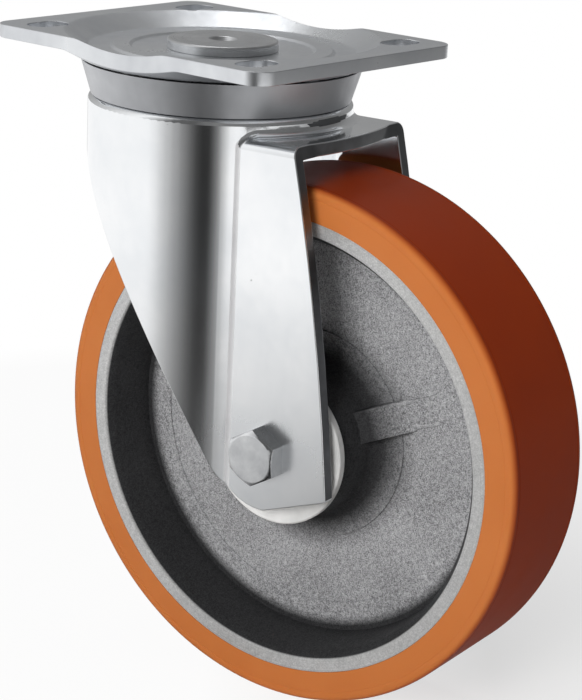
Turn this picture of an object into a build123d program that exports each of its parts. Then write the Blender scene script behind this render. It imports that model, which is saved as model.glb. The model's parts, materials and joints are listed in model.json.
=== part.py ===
"""Swivel castor: pressed steel fork with a double ball race head, and a ball bearing wheel.

The origin is the middle of the plate's top face, on the swivel axis, with Z up.
X runs along the short side of the plate and Y along its long side.
The fork trails towards -Y. Sizes are in millimetres and degrees.
"""
import os
from math import asin, cos, degrees, hypot, radians, sqrt, tan

from build123d import *

# Mounting plate, pressed from one sheet
plate_length = 135
plate_width = 110
plate_thickness = 5
plate_corner = 8
bolt_spacing_x = 80
bolt_spacing_y = 105
slot_width = 11
slot_length = 17
dish_rim_radius = 59
dish_floor_radius = 50
dish_depth = 5.7
dish_floor_thickness = 4
dish_bend = 3

# Swivel head: two rows of balls held together by the kingpin
upper_pitch_radius = 38
upper_ball = 10
upper_ball_count = 22
lower_pitch_radius = 24
lower_ball = 8
lower_ball_count = 17
race_depth = 1
ball_clearance = 0.05
kingpin_radius = 12
kingpin_head_radius = 20.9
kingpin_head_height = 3.7
kingpin_hole_radius = 3
kingpin_sink_radius = 5.5
kingpin_hole_depth = 8
kingpin_thread_radius = 10
kingpin_nut_flats = 30
kingpin_nut_height = 9
kingpin_nut_face_radius = 14
kingpin_edge = 0.6
kingpin_end = 1.5
lower_race_radius = 30
lower_race_thickness = 6
crown_hole_radius = 17

# Fork, pressed from one sheet
rest_turn = 6
wheel_headroom = 45
fork_sheet = 5
crown_top = -23
crown_radius = 50
crown_round = 2.5
crown_inner_round = 0.5
crown_boss_radius = 43
crown_boss_slope = 2.5
web_step = 6.5
web_bulge = 3.5
web_foot_round = 2.5
bend_radius = 4
leg_gap = 5
crease_radius = 3
front_skirt = 21
front_skirt_end = 38
front_skirt_round = 8
front_edge_radius = 430
foot_radius = 22
foot_front_angle = -24
foot_rear_angle = -95
heel_back = 29
heel_drop = 12
heel_round = 1.5
rear_edge_radius = 900
web_back = 58.5

# Dust ring between the crown and the plate
dust_ring_wall = 1.5
dust_ring_foot_radius = 49
dust_ring_flare = 3.85
dust_ring_gap = 0.4

# Axle, clamped between the legs
axle_thread_radius = 6
axle_hole_radius = 6.5
axle_flats = 19
axle_spanner_room = 3.14
axle_head_height = 7.5
axle_face_radius = 8.7
axle_nut_height = 12
axle_collar_height = 4
axle_collar_radius = 8.6
axle_collar_edge = 0.6
axle_end = 2
axle_tube_radius = 10
sleeve_radius = 13.5
spacer_radius = 14
guard_sheet = 1.2
guard_radius = 29.3
guard_recess = 0.8
guard_lip = 3.5
fit_clearance = 0.05

# Ball bearings of the wheel
bearing_width = 14
bearing_radius = 23.5
bearing_pitch_radius = 16.75
bearing_ball = 7.94
bearing_ball_count = 8
inner_ring_radius = 14.2
outer_ring_bore = 19.3
cage_inner_radius = 15.8
cage_outer_radius = 17.7
cage_width = 10
cage_window_clearance = 0.15

# Wheel
wheel_width = 50
rim_radius = 88
tread_thickness = 12
tread_round = 2
hub_stand_out = 1
hub_end_radius = 27.2
hub_root_radius = 31
hub_fillet = 8
hub_bore_radius = 21
web_half = 3.5
rim_lip = 4.8
rim_ridge_step = 2.6
rim_ridge_depth = 4
rim_root_step = 2.1
rim_fillet = 9
pocket_outer_radius = 67.5
pocket_inner_radius = 41
pocket_depth = 0.8
pocket_corner = 9
land_width = 11
rib_angle = 21
rib_width = 12
rib_root_height = 14
rib_root_end = 28
rib_tip_radius = 46
rib_tip_height = 5
rib_sink = 1

# Heights and places that follow from the sizes above
wheel_radius = rim_radius + tread_thickness
rim_mouth_radius = rim_radius - rim_lip
rim_ridge_radius = rim_mouth_radius - rim_ridge_step
rim_root_radius = rim_ridge_radius - rim_root_step
hub_half_width = wheel_width / 2 + hub_stand_out
leg_inner = hub_half_width + leg_gap
leg_outer = leg_inner + fork_sheet
crease_start = sqrt((crown_radius + crease_radius) ** 2 - (leg_outer + crease_radius) ** 2)
trail = crease_start + axle_flats / 2 / cos(radians(30)) + axle_spanner_room
axle_drop = wheel_radius + wheel_headroom
fork_reach = trail + heel_back + 4 * fork_sheet
fork_drop = axle_drop + 2 * foot_radius
plate_floor = -dish_depth - dish_floor_thickness
upper_race_roof = plate_floor + race_depth
crown_race_floor = upper_race_roof - upper_ball - 2 * ball_clearance
crown_boss_top = crown_race_floor + race_depth
crown_boss_under = crown_boss_top - fork_sheet
lower_race_roof = crown_boss_under + race_depth
lower_race_floor = lower_race_roof - lower_ball - 2 * ball_clearance
lower_race_top = lower_race_floor + race_depth
lower_race_bottom = lower_race_top - lower_race_thickness
web_top = crown_top - web_step
web_under = web_top - fork_sheet
bearing_outer_face = hub_half_width
bearing_inner_face = hub_half_width - bearing_width
bearing_middle = hub_half_width - bearing_width / 2

# Planes that turn with the fork
fork_plane = Plane.XY.rotated((0, 0, rest_turn))
fork_side = Plane(fork_plane.origin, x_dir=fork_plane.y_dir, z_dir=fork_plane.x_dir)
fork_run = Axis(fork_plane.origin, fork_plane.y_dir)
axle_point = fork_plane.from_local_coords((0, -trail, -axle_drop))
axle_line = Axis(axle_point, fork_plane.x_dir)
axle_section = Plane(axle_point, x_dir=fork_plane.x_dir, z_dir=-fork_plane.y_dir)
fork_section = Plane(fork_plane.origin, x_dir=fork_plane.x_dir, z_dir=-fork_plane.y_dir)
wheel_face = Plane(axle_point, x_dir=-fork_plane.y_dir, z_dir=-fork_plane.x_dir)

os.makedirs("parts", exist_ok=True)


def race_groove(ball, depth):
    """Half widths of a race groove at its floor and at its mouth."""
    floor = ball / 2 * tan(radians(22.5)) + ball_clearance
    return floor, floor + depth


def faceted_ball(diameter):
    """A ball as a cube with chamfered edges: 26 flats, which keep the many balls light."""
    with BuildPart() as ball:
        Box(diameter, diameter, diameter)
        chamfer(ball.edges(), diameter / (2 + sqrt(2)))
    return ball.part


def hexagon_blank(plane, flats, height, face_radius):
    """A hexagon bar end, whose outer corners are turned off at 30 degrees down to face_radius."""
    reach = flats / 2 / cos(radians(30)) + 1
    with BuildPart() as blank:
        with BuildSketch(plane):
            RegularPolygon(flats / 2, 6, major_radius=False, rotation=30)
        extrude(amount=height)
        with BuildSketch(Plane(plane.origin, x_dir=plane.x_dir, z_dir=-plane.y_dir)):
            with BuildLine():
                Polyline(
                    (0, 0),
                    (reach, 0),
                    (reach, height - (reach - face_radius) * tan(radians(30))),
                    (face_radius, height),
                    (0, height),
                    close=True,
                )
            make_face()
        revolve(axis=Axis(plane.origin, plane.z_dir), mode=Mode.INTERSECT)
    return blank.part


# Mounting body ---------------------------------------------------------------

with BuildPart() as top_plate:
    plate_reach = hypot(plate_length, plate_width) / 2 + 1
    groove_floor, groove_mouth = race_groove(upper_ball, race_depth)
    with BuildSketch(Plane.XZ) as plate_section:
        with BuildLine():
            top_line = Polyline(
                (kingpin_radius + fit_clearance, -dish_depth),
                (upper_pitch_radius - groove_mouth - race_depth, -dish_depth),
                (upper_pitch_radius - groove_mouth, race_depth - dish_depth),
                (upper_pitch_radius + groove_mouth, race_depth - dish_depth),
                (upper_pitch_radius + groove_mouth + race_depth, -dish_depth),
                (dish_floor_radius, -dish_depth),
                (dish_rim_radius, 0),
                (plate_reach, 0),
            )
            dish_shift = plate_thickness / 2
            under_line = Polyline(
                (plate_reach, -plate_thickness),
                (dish_rim_radius + dish_shift, -plate_thickness),
                (dish_floor_radius + dish_shift, plate_floor),
                (upper_pitch_radius + groove_mouth, plate_floor),
                (upper_pitch_radius + groove_floor, upper_race_roof),
                (upper_pitch_radius - groove_floor, upper_race_roof),
                (upper_pitch_radius - groove_mouth, plate_floor),
                (kingpin_radius + fit_clearance, plate_floor),
            )
            Line(top_line @ 1, under_line @ 0)
            Line(under_line @ 1, top_line @ 0)
        make_face()
        dish_bends = plate_section.vertices().filter_by_position(
            Axis.X, dish_floor_radius, dish_rim_radius + dish_shift
        )
        fillet(dish_bends, dish_bend)
    revolve(axis=Axis.Z)
    with BuildSketch():
        RectangleRounded(plate_width, plate_length, plate_corner)
    extrude(amount=plate_floor, mode=Mode.INTERSECT)
    with BuildSketch():
        with GridLocations(bolt_spacing_x, bolt_spacing_y, 2, 2):
            SlotOverall(slot_length, slot_width)
    extrude(amount=-2 * plate_thickness, mode=Mode.SUBTRACT)
top_plate.part.label = "top_plate"
export_step(top_plate.part, "parts/top_plate.step")

with BuildPart() as kingpin:
    thread_end = lower_race_bottom - kingpin_nut_height - kingpin_end
    with BuildSketch(Plane.XZ):
        with BuildLine():
            Polyline(
                (0, kingpin_head_height - dish_depth),
                (kingpin_head_radius, kingpin_head_height - dish_depth),
                (kingpin_head_radius, -dish_depth),
                (kingpin_radius, -dish_depth),
                (kingpin_radius, lower_race_top),
                (kingpin_thread_radius, lower_race_top),
                (kingpin_thread_radius, thread_end),
                (0, thread_end),
                close=True,
            )
        make_face()
    revolve(axis=Axis.Z)
    chamfer(kingpin.edges().filter_by(GeomType.CIRCLE).group_by(Axis.Z)[-1], kingpin_edge)
    with Locations((0, 0, kingpin_head_height - dish_depth)):
        CounterSinkHole(kingpin_hole_radius, kingpin_sink_radius, kingpin_hole_depth)
kingpin.part.label = "kingpin"
export_step(kingpin.part, "parts/kingpin.step")

with BuildPart() as lower_race:
    groove_floor, groove_mouth = race_groove(lower_ball, race_depth)
    with BuildSketch(Plane.XZ):
        with BuildLine():
            Polyline(
                (kingpin_thread_radius + fit_clearance, lower_race_top),
                (lower_pitch_radius - groove_mouth, lower_race_top),
                (lower_pitch_radius - groove_floor, lower_race_floor),
                (lower_pitch_radius + groove_floor, lower_race_floor),
                (lower_pitch_radius + groove_mouth, lower_race_top),
                (lower_race_radius, lower_race_top),
                (lower_race_radius, lower_race_top - lower_race_thickness / 2),
                (lower_race_radius - lower_race_thickness / 2, lower_race_bottom),
                (kingpin_thread_radius + fit_clearance, lower_race_bottom),
                close=True,
            )
        make_face()
    revolve(axis=Axis.Z)
lower_race.part.label = "lower_race"
export_step(lower_race.part, "parts/lower_race.step")

with BuildPart() as kingpin_nut:
    nut_seat = Plane((0, 0, lower_race_bottom), z_dir=(0, 0, -1))
    add(hexagon_blank(nut_seat, kingpin_nut_flats, kingpin_nut_height, kingpin_nut_face_radius))
    with Locations((0, 0, lower_race_bottom)):
        Cylinder(kingpin_thread_radius + fit_clearance, 3 * kingpin_nut_height, mode=Mode.SUBTRACT)
kingpin_nut.part.label = "kingpin_nut"
export_step(kingpin_nut.part, "parts/kingpin_nut.step")

# Ball rows of the head, each rolling at half the swivel's speed -----------------

with BuildPart() as upper_balls:
    with Locations(Plane.XY.offset(upper_race_roof - ball_clearance - upper_ball / 2)):
        with PolarLocations(upper_pitch_radius, upper_ball_count):
            add(faceted_ball(upper_ball))
upper_balls.part.label = "upper_balls"
export_step(upper_balls.part, "parts/upper_balls.step")

with BuildPart() as lower_balls:
    with Locations(Plane.XY.offset(lower_race_roof - ball_clearance - lower_ball / 2)):
        with PolarLocations(lower_pitch_radius, lower_ball_count):
            add(faceted_ball(lower_ball))
lower_balls.part.label = "lower_balls"
export_step(lower_balls.part, "parts/lower_balls.step")

# Fork body, which swivels ---------------------------------------------------------

with BuildPart() as fork_hollow:
    # the fork's plan is a keyhole, drawn in by the thickness of the sheet
    with BuildSketch(fork_plane.offset(crown_top - fork_sheet)) as plan:
        Circle(crown_radius)
        with Locations((0, -fork_reach / 2)):
            Rectangle(2 * leg_outer, fork_reach)
        fillet(plan.vertices().group_by(Axis.Y)[1], crease_radius)
        offset(amount=-fork_sheet, mode=Mode.REPLACE)
    extrude(amount=-fork_drop)
    crown_inside = crown_radius - fork_sheet
    with BuildSketch(fork_plane.offset(crown_top - fork_sheet)):
        with Locations((0, -crown_inside / 2 - fork_reach)):
            Rectangle(3 * crown_inside, 2 * fork_reach)
        Circle(crown_inside, mode=Mode.SUBTRACT)
    extrude(amount=-web_step, mode=Mode.SUBTRACT)
    fillet(fork_hollow.edges().group_by(Axis.Z)[-1], crown_inner_round)
    # the dished middle of the crown, with a race for the lower balls
    groove_floor, groove_mouth = race_groove(lower_ball, race_depth)
    under_boss_radius = crown_boss_radius - fork_sheet / 2
    with BuildSketch(fork_section):
        with BuildLine():
            Polyline(
                (crown_hole_radius, crown_boss_top + race_depth),
                (0, crown_boss_top + race_depth),
                (0, crown_top - fork_sheet),
                (under_boss_radius + crown_boss_slope, crown_top - fork_sheet),
                (under_boss_radius, crown_boss_under),
                (lower_pitch_radius + groove_mouth, crown_boss_under),
                (lower_pitch_radius + groove_floor, lower_race_roof),
                (lower_pitch_radius - groove_floor, lower_race_roof),
                (lower_pitch_radius - groove_mouth, crown_boss_under),
                (crown_hole_radius, crown_boss_under),
                close=True,
            )
        make_face()
    revolve(axis=Axis.Z)

with BuildPart() as fork:
    # two straight legs hang from a lower web, bent round along its sides
    with BuildSketch(fork_plane.offset(web_top)):
        with Locations((0, -fork_reach / 2)):
            Rectangle(2 * leg_outer, fork_reach)
    extrude(amount=-fork_drop)
    fillet(fork.edges().group_by(Axis.Z)[-1].filter_by(fork_run), bend_radius)
    # the round crown, which the legs run into over soft creases
    with BuildSketch(fork_plane.offset(crown_top)):
        Circle(crown_radius)
    extrude(amount=-fork_drop)
    fillet(fork.edges().group_by(Axis.Z)[-1], crown_round)
    fillet(fork.edges().filter_by(Axis.Z).group_by(fork_run)[1], crease_radius)
    # a concave round where the crown stands on the web
    web_foot_radius = crown_radius + web_foot_round
    web_foot_half = degrees(asin((leg_outer - bend_radius) / web_foot_radius))
    web_foot_start = fork_plane.x_dir.rotate(Axis.Z, -90 - web_foot_half)
    with BuildSketch(Plane(fork_plane.origin, x_dir=web_foot_start, z_dir=web_foot_start.cross(Vector(0, 0, 1)))):
        with BuildLine():
            Polyline(
                (web_foot_radius, web_top),
                (web_foot_radius, web_top - web_foot_round),
                (crown_radius - web_foot_round, web_top - web_foot_round),
                (crown_radius - web_foot_round, web_top + web_foot_round),
                (crown_radius, web_top + web_foot_round),
            )
            RadiusArc((crown_radius, web_top + web_foot_round), (web_foot_radius, web_top), -web_foot_round)
        make_face()
    revolve(axis=Axis.Z, revolution_arc=2 * web_foot_half)
    # the raised middle of the crown, with a race for the upper balls
    groove_floor, groove_mouth = race_groove(upper_ball, race_depth)
    with BuildSketch(fork_section):
        with BuildLine():
            Polyline(
                (0, crown_top),
                (0, crown_boss_top),
                (upper_pitch_radius - groove_mouth, crown_boss_top),
                (upper_pitch_radius - groove_floor, crown_race_floor),
                (upper_pitch_radius + groove_floor, crown_race_floor),
                (upper_pitch_radius + groove_mouth, crown_boss_top),
                (crown_boss_radius, crown_boss_top),
                (crown_boss_radius + crown_boss_slope, crown_top),
                close=True,
            )
        make_face()
    revolve(axis=Axis.Z)
    add(fork_hollow.part, mode=Mode.SUBTRACT)
    # the side outline trims the skirt and both legs in one stroke
    axle_centre = Vector(-trail, -axle_drop)
    foot_front = axle_centre + Vector(foot_radius, 0).rotate(Axis.Z, foot_front_angle)
    foot_rear = axle_centre + Vector(foot_radius, 0).rotate(Axis.Z, foot_rear_angle)
    foot_low = axle_centre + Vector(foot_radius, 0).rotate(Axis.Z, (foot_front_angle + foot_rear_angle) / 2)
    heel = axle_centre - Vector(heel_back, heel_drop)
    skirt_end = Vector(front_skirt_end, crown_top - front_skirt)
    web_corner = Vector(-web_back, web_top)
    front = crown_radius + fork_sheet
    with BuildSketch(fork_side.offset(-2 * crown_radius)) as side_outline:
        with BuildLine():
            Polyline(web_corner, (-web_back, 0), (front, 0), (front, skirt_end.Y), skirt_end)
            RadiusArc(skirt_end, foot_front, -front_edge_radius)
            ThreePointArc(foot_front, foot_low, foot_rear)
            Line(foot_rear, heel)
            RadiusArc(heel, web_corner, rear_edge_radius)
        make_face()
        fillet(side_outline.vertices().sort_by_distance((heel.X, heel.Y))[0], heel_round)
        fillet(side_outline.vertices().sort_by_distance((skirt_end.X, skirt_end.Y))[0], front_skirt_round)
    extrude(amount=4 * crown_radius, mode=Mode.INTERSECT)
    # the web bulges a little past the legs
    with BuildSketch(fork_plane.offset(web_top)):
        with BuildLine():
            bulge_half = leg_inner - bend_radius
            ThreePointArc((-bulge_half, -web_back), (0, -web_back - web_bulge), (bulge_half, -web_back))
            Line((bulge_half, -web_back), (-bulge_half, -web_back))
        make_face()
    extrude(amount=-fork_sheet)
    with Locations(Plane(axle_point, z_dir=fork_plane.x_dir)):
        Cylinder(axle_hole_radius, 3 * leg_outer, mode=Mode.SUBTRACT)
fork.part.label = "fork"
export_step(fork.part, "parts/fork.step")

with BuildPart() as dust_ring:
    ring_top = plate_floor - dust_ring_gap
    with BuildSketch(Plane.XZ):
        with BuildLine():
            Polyline(
                (dust_ring_foot_radius, crown_top),
                (dust_ring_foot_radius + dust_ring_flare, ring_top),
                (dust_ring_foot_radius + dust_ring_flare - dust_ring_wall, ring_top),
                (dust_ring_foot_radius - dust_ring_wall, crown_top),
                close=True,
            )
        make_face()
    revolve(axis=Axis.Z)
dust_ring.part.label = "dust_ring"
export_step(dust_ring.part, "parts/dust_ring.step")

with BuildPart() as axle_bolt:
    add(hexagon_blank(wheel_face.offset(leg_outer), axle_flats, axle_head_height, axle_face_radius))
    with BuildSketch(wheel_face.offset(leg_outer)):
        Circle(axle_thread_radius)
    extrude(amount=-(2 * leg_outer + axle_nut_height + axle_end))
axle_bolt.part.label = "axle_bolt"
export_step(axle_bolt.part, "parts/axle_bolt.step")

with BuildPart() as axle_nut:
    far_face = Plane(axle_point, x_dir=fork_plane.y_dir, z_dir=fork_plane.x_dir).offset(leg_outer)
    add(hexagon_blank(far_face, axle_flats, axle_nut_height - axle_collar_height, axle_face_radius))
    with BuildSketch(far_face):
        Circle(axle_collar_radius)
    extrude(amount=axle_nut_height)
    chamfer(axle_nut.edges().sort_by(axle_line)[-1], axle_collar_edge)
    with BuildSketch(far_face):
        Circle(axle_thread_radius + fit_clearance)
    extrude(amount=axle_nut_height, mode=Mode.SUBTRACT)
axle_nut.part.label = "axle_nut"
export_step(axle_nut.part, "parts/axle_nut.step")

with BuildPart() as axle_tube:
    with BuildSketch(wheel_face):
        Circle(axle_tube_radius)
        Circle(axle_thread_radius + fit_clearance, mode=Mode.SUBTRACT)
    extrude(amount=leg_inner, both=True)
axle_tube.part.label = "axle_tube"
export_step(axle_tube.part, "parts/axle_tube.step")

with BuildPart() as distance_sleeve:
    with BuildSketch(wheel_face):
        Circle(sleeve_radius)
        Circle(axle_tube_radius + fit_clearance, mode=Mode.SUBTRACT)
    extrude(amount=bearing_inner_face, both=True)
distance_sleeve.part.label = "distance_sleeve"
export_step(distance_sleeve.part, "parts/distance_sleeve.step")

# Each end of the hub has the same set of pieces, mirrored

for side, sign in (("near", -1), ("far", 1)):
    groove_floor, groove_mouth = race_groove(bearing_ball, 0)
    outer_groove_radius = hypot(bearing_pitch_radius + bearing_ball / 2, groove_floor) + ball_clearance
    with BuildPart() as inner_ring:
        with BuildSketch(axle_section):
            with BuildLine():
                groove_depth = inner_ring_radius - bearing_pitch_radius + bearing_ball / 2 + ball_clearance
                Polyline(
                    (sign * bearing_inner_face, axle_tube_radius + fit_clearance),
                    (sign * bearing_outer_face, axle_tube_radius + fit_clearance),
                    (sign * bearing_outer_face, inner_ring_radius),
                    (sign * (bearing_middle + groove_floor + groove_depth), inner_ring_radius),
                    (sign * (bearing_middle + groove_floor), inner_ring_radius - groove_depth),
                    (sign * (bearing_middle - groove_floor), inner_ring_radius - groove_depth),
                    (sign * (bearing_middle - groove_floor - groove_depth), inner_ring_radius),
                    (sign * bearing_inner_face, inner_ring_radius),
                    close=True,
                )
            make_face()
        revolve(axis=axle_line)
    inner_ring.part.label = f"{side}_inner_ring"
    export_step(inner_ring.part, f"parts/{side}_inner_ring.step")

    with BuildPart() as outer_ring:
        with BuildSketch(axle_section):
            with BuildLine():
                groove_depth = outer_groove_radius - outer_ring_bore
                Polyline(
                    (sign * bearing_inner_face, bearing_radius),
                    (sign * bearing_outer_face, bearing_radius),
                    (sign * bearing_outer_face, outer_ring_bore),
                    (sign * (bearing_middle + groove_floor + groove_depth), outer_ring_bore),
                    (sign * (bearing_middle + groove_floor), outer_ring_bore + groove_depth),
                    (sign * (bearing_middle - groove_floor), outer_ring_bore + groove_depth),
                    (sign * (bearing_middle - groove_floor - groove_depth), outer_ring_bore),
                    (sign * bearing_inner_face, outer_ring_bore),
                    close=True,
                )
            make_face()
        revolve(axis=axle_line)
    outer_ring.part.label = f"{side}_outer_ring"
    export_step(outer_ring.part, f"parts/{side}_outer_ring.step")

    bearing_plane = wheel_face.offset(-sign * bearing_middle)
    with BuildPart() as bearing_balls:
        with Locations(bearing_plane):
            with PolarLocations(bearing_pitch_radius, bearing_ball_count):
                add(faceted_ball(bearing_ball))
    bearing_balls.part.label = f"{side}_bearing_balls"
    export_step(bearing_balls.part, f"parts/{side}_bearing_balls.step")

    with BuildPart() as ball_cage:
        with BuildSketch(bearing_plane):
            Circle(cage_outer_radius)
            Circle(cage_inner_radius, mode=Mode.SUBTRACT)
        extrude(amount=cage_width / 2, both=True)
        window = bearing_ball + 2 * cage_window_clearance
        with Locations(bearing_plane):
            with PolarLocations(bearing_pitch_radius, bearing_ball_count):
                Box(bearing_ball, window, window, mode=Mode.SUBTRACT)
    ball_cage.part.label = f"{side}_ball_cage"
    export_step(ball_cage.part, f"parts/{side}_ball_cage.step")

    with BuildPart() as thread_guard:
        guard_face = bearing_outer_face + guard_recess + guard_sheet
        with BuildSketch(axle_section):
            with BuildLine():
                Polyline(
                    (sign * bearing_outer_face, axle_tube_radius + fit_clearance),
                    (sign * bearing_outer_face, spacer_radius + fit_clearance),
                    (sign * (bearing_outer_face + guard_recess), spacer_radius + fit_clearance + guard_sheet),
                    (sign * (bearing_outer_face + guard_recess), guard_radius - guard_sheet),
                    (sign * (guard_face - guard_lip), guard_radius - guard_sheet),
                    (sign * (guard_face - guard_lip), guard_radius),
                    (sign * (guard_face - guard_sheet / 2), guard_radius),
                    (sign * guard_face, guard_radius - guard_sheet / 2),
                    (sign * guard_face, spacer_radius + fit_clearance + guard_sheet),
                    (sign * (bearing_outer_face + guard_sheet), spacer_radius + fit_clearance),
                    (sign * (bearing_outer_face + guard_sheet), axle_tube_radius + fit_clearance),
                    close=True,
                )
            make_face()
        revolve(axis=axle_line)
    thread_guard.part.label = f"{side}_thread_guard"
    export_step(thread_guard.part, f"parts/{side}_thread_guard.step")

    with BuildPart() as spacer:
        with BuildSketch(wheel_face.offset(-sign * (bearing_outer_face + guard_sheet))):
            Circle(spacer_radius)
            Circle(axle_tube_radius + fit_clearance, mode=Mode.SUBTRACT)
        extrude(amount=-sign * (leg_inner - bearing_outer_face - guard_sheet))
    spacer.part.label = f"{side}_spacer"
    export_step(spacer.part, f"parts/{side}_spacer.step")

# Wheel body, which rolls ----------------------------------------------------------

with BuildPart() as wheel_centre:
    with BuildSketch(axle_section) as wheel_section:
        with BuildLine():
            Polyline(
                (0, hub_bore_radius),
                (bearing_inner_face, hub_bore_radius),
                (bearing_inner_face, bearing_radius + fit_clearance),
                (hub_half_width, bearing_radius + fit_clearance),
                (hub_half_width, hub_end_radius),
                (web_half, hub_root_radius),
                (web_half, rim_root_radius),
                (wheel_width / 2 - rim_ridge_depth, rim_ridge_radius),
                (wheel_width / 2, rim_mouth_radius),
                (wheel_width / 2, rim_radius),
                (0, rim_radius),
            )
            mirror(about=Plane.YZ)
        make_face()
        web_corners = wheel_section.vertices().filter_by_position(Axis.X, -web_half - 0.01, web_half + 0.01)
        web_corners = web_corners.filter_by_position(Axis.Y, hub_bore_radius + 1, rim_radius - 1)
        fillet(web_corners.group_by(Axis.Y)[0], hub_fillet)
        fillet(web_corners.group_by(Axis.Y)[-1], rim_fillet)
    revolve(axis=axle_line)
    # one radial rib runs from the hub over the web, on both faces
    rib_direction = wheel_face.x_dir.rotate(Axis((0, 0, 0), wheel_face.z_dir), rib_angle)
    rib_face = Plane(axle_point, x_dir=rib_direction, z_dir=wheel_face.z_dir)
    rib_plane = Plane(axle_point, x_dir=rib_face.x_dir, z_dir=-rib_face.y_dir)
    with BuildSketch(rib_plane):
        with BuildLine():
            Polyline(
                (bearing_radius + rib_sink, 0),
                (bearing_radius + rib_sink, rib_root_height),
                (rib_root_end, rib_root_height),
                (rib_tip_radius, rib_tip_height),
                (rib_tip_radius + rib_tip_height - web_half + rib_sink, web_half - rib_sink),
                (rib_tip_radius + rib_tip_height - web_half + rib_sink, 0),
            )
            mirror(about=Plane.XZ)
        make_face()
    extrude(amount=rib_width / 2, both=True)
    # a shallow pocket in each face of the web, with a land left where the rib runs out
    for sign in (-1, 1):
        with BuildSketch(rib_face.offset(sign * web_half)) as pocket:
            Circle(pocket_outer_radius)
            Circle(pocket_inner_radius, mode=Mode.SUBTRACT)
            with Locations((pocket_outer_radius, 0)):
                Rectangle(2 * pocket_outer_radius, land_width, mode=Mode.SUBTRACT)
            fillet(pocket.vertices().group_by(Axis.X)[-1], pocket_corner)
        extrude(amount=-sign * pocket_depth, mode=Mode.SUBTRACT)
wheel_centre.part.label = "wheel_centre"
export_step(wheel_centre.part, "parts/wheel_centre.step")

with BuildPart() as tyre:
    with BuildSketch(axle_section) as tyre_section:
        with BuildLine():
            Polyline(
                (-wheel_width / 2, rim_radius + fit_clearance),
                (wheel_width / 2, rim_radius + fit_clearance),
                (wheel_width / 2, wheel_radius),
                (-wheel_width / 2, wheel_radius),
                close=True,
            )
        make_face()
        fillet(tyre_section.vertices().group_by(Axis.Y)[-1], tread_round)
    revolve(axis=axle_line)
tyre.part.label = "tyre"
export_step(tyre.part, "parts/tyre.step")
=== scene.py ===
# %% [markdown]
# # A swivel castor, finished for rendering
# The castor bolts under a trolley by its top plate. A pressed steel fork turns below the plate on two
# rings of balls, and carries a cast wheel with an orange tread on a through bolt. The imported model
# gives every rigid piece at its true size, so this lesson starts from it and adds the finish: softened
# edges, small turned pieces, threads, and one material for each kind of surface.

# %% Load the frame
import json
from math import atan2, cos, degrees, pi, radians, sin

import bmesh
import bpy
from mathutils import Matrix, Quaternion, Vector

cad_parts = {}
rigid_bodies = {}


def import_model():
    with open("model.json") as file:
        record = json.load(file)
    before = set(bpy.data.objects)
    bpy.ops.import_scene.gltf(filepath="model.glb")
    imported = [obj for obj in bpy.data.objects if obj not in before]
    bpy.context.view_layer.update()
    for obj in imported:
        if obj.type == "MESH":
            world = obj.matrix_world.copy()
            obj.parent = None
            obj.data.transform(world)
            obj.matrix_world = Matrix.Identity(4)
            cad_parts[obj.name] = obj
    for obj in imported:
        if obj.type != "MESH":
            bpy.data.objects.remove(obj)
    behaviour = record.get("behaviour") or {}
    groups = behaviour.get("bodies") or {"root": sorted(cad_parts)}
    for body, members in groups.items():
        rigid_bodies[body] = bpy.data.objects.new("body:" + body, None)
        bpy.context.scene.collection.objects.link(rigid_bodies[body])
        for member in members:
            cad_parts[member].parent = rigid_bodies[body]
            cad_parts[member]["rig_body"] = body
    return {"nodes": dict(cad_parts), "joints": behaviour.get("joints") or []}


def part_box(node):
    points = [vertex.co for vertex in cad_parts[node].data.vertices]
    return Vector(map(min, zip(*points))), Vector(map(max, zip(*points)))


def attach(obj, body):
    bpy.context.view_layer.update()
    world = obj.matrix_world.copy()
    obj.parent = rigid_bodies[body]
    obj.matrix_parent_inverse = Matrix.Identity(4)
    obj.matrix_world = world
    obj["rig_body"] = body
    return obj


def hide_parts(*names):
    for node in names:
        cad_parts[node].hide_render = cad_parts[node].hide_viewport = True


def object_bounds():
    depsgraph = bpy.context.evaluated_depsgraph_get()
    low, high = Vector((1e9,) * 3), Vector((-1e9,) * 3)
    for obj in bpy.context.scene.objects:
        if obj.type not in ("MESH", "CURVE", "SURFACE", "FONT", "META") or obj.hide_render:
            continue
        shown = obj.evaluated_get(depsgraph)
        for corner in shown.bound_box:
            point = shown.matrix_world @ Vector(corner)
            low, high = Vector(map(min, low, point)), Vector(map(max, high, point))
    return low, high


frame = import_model()
cad_box = [list(corner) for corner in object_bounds()]

# %% [markdown]
# ## Places that everything else follows
# The wheel's own frame has its origin in the middle of the axle and X along it. It comes from the wheel
# joint, so nothing has to be typed twice. The fork stands turned a few degrees on its swivel, and the
# same angle turns every pattern that follows the fork or the wheel.

# %% The axle's frame
mm = 0.001
wheel_joint = next(joint for joint in frame["joints"] if joint["name"] == "wheel_spin")
axle_middle = Vector(wheel_joint["pos_m"])
axle_direction = Vector(wheel_joint["axis"])
rest_turn = atan2(axle_direction.y, axle_direction.x)
floor_height = cad_box[0][2]
swivel_axis_foot = Vector((0, 0, 0))
print("fork turned", round(degrees(rest_turn), 2), "degrees, floor at", round(floor_height, 4), "m")

# %% [markdown]
# ## A small kit for material nodes
# A node tree written line by line hides its idea. These helpers add a node, set its properties, and
# fill its inputs either with a plain value or with a link, so each material below reads from its
# coordinates to its shader in a few lines.

# %% Node helpers


def fill(tree, socket, value):
    """Links a socket to another one, or sets its value."""
    if isinstance(value, bpy.types.NodeSocket):
        tree.links.new(value, socket)
    else:
        socket.default_value = value


def put(tree, kind, inputs=None, **settings):
    """Adds a node with its properties and inputs."""
    node = tree.nodes.new(kind)
    for name, value in settings.items():
        setattr(node, name, value)
    for name, value in (inputs or {}).items():
        fill(tree, node.inputs[name], value)
    return node


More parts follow.
